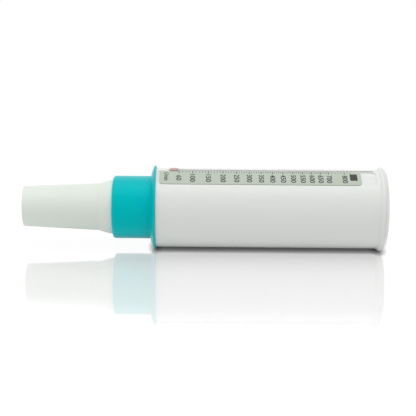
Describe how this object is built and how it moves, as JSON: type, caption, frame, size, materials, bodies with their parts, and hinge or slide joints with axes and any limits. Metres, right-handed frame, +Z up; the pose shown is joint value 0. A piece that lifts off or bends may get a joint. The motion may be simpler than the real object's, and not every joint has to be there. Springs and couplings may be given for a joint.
{
  "type": "peak flow meter",
  "caption": "Hand-held piston peak flow meter: push-on mouthpiece, flanged inlet collar, slotted tube with scale plate and sliding pointer, sprung piston on a rod, grille end cap.",
  "frame": {"origin": "on the surface that the meter lies on, under the middle of its length", "axes": "+X along the meter from the mouthpiece to the rear cap, +Z up through the pointer's slot"},
  "size_m": [0.2284, 0.053, 0.053],
  "materials": {
    "mouthpiece_plastic": "satin, slightly clouded",
    "turquoise_plastic": "gloss",
    "white_plastic": "gloss",
    "plate_print": "satin print",
    "bright_steel": "drawn",
    "soft_rubber": "matt",
    "piston_plastic": "satin",
    "bush_plastic": "waxy",
    "pointer_red": "gloss"
  },
  "bodies": {
    "meter_body": {"inlet_collar": "turquoise_plastic", "body_tube": "white_plastic", "scale_plate": "plate_print", "rear_cap": "white_plastic", "rod_spider": "white_plastic", "guide_rod": "bright_steel", "rod_front_clip": "bright_steel", "rod_rear_clip": "bright_steel", "rest_bumper": "soft_rubber", "return_spring": "bright_steel"},
    "mouthpiece_body": {"mouthpiece": "mouthpiece_plastic"},
    "piston_body": {"piston_disc": "piston_plastic", "piston_bush": "bush_plastic", "piston_ring": "bush_plastic"},
    "pointer_body": {"pointer": "pointer_red", "pointer_shoe": "piston_plastic", "pointer_leaf": "bright_steel"}
  },
  "joints": [
    {"name": "mouthpiece_pull", "type": "slide", "parent": "meter_body", "child": "mouthpiece_body", "axis": [-1, 0, 0], "range_m": [0, 0.035]},
    {"name": "piston_slide", "type": "slide", "parent": "meter_body", "child": "piston_body", "axis": [1, 0, 0], "range_m": [0, 0.118], "stiffness_N_per_m": 10, "springref_m": -0.015, "deforming": ["return_spring"]},
    {"name": "pointer_slide", "type": "slide", "parent": "meter_body", "child": "pointer_body", "axis": [1, 0, 0], "range_m": [0, 0.118]}
  ],
  "couplings": [
    {"joint": "pointer_slide", "follows": "piston_slide", "ratio": 1}
  ]
}
